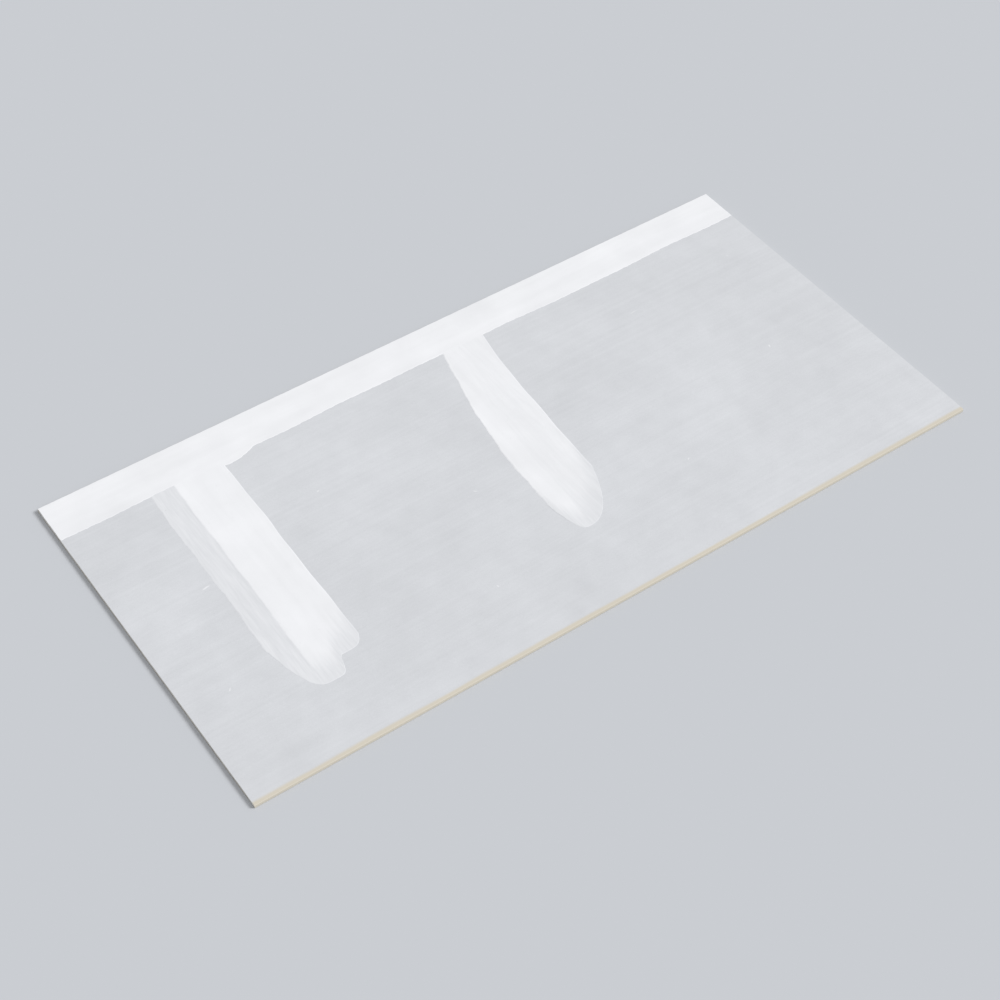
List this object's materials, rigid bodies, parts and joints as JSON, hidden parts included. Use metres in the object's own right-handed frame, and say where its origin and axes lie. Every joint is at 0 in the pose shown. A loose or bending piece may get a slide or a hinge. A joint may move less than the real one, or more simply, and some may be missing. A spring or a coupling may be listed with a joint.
{
  "type": "drywall sheet",
  "caption": "Full gypsum wallboard sheet with paper faces, tapered long edges and square sawn ends, lying flat with its finished face up.",
  "frame": {"origin": "middle of the back face, on the surface that the sheet lies on", "axes": "+X along the sheet's length, +Y across its width, +Z through its thickness, out of the finished face"},
  "size_m": [2.4384, 1.2192, 0.0127],
  "materials": {
    "face_paper": "matte",
    "back_paper": "matte",
    "gypsum_core": "matte",
    "joint_compound": "matte"
  },
  "bodies": {
    "root": {"drywall_sheet": "face_paper"}
  },
  "joints": []
}
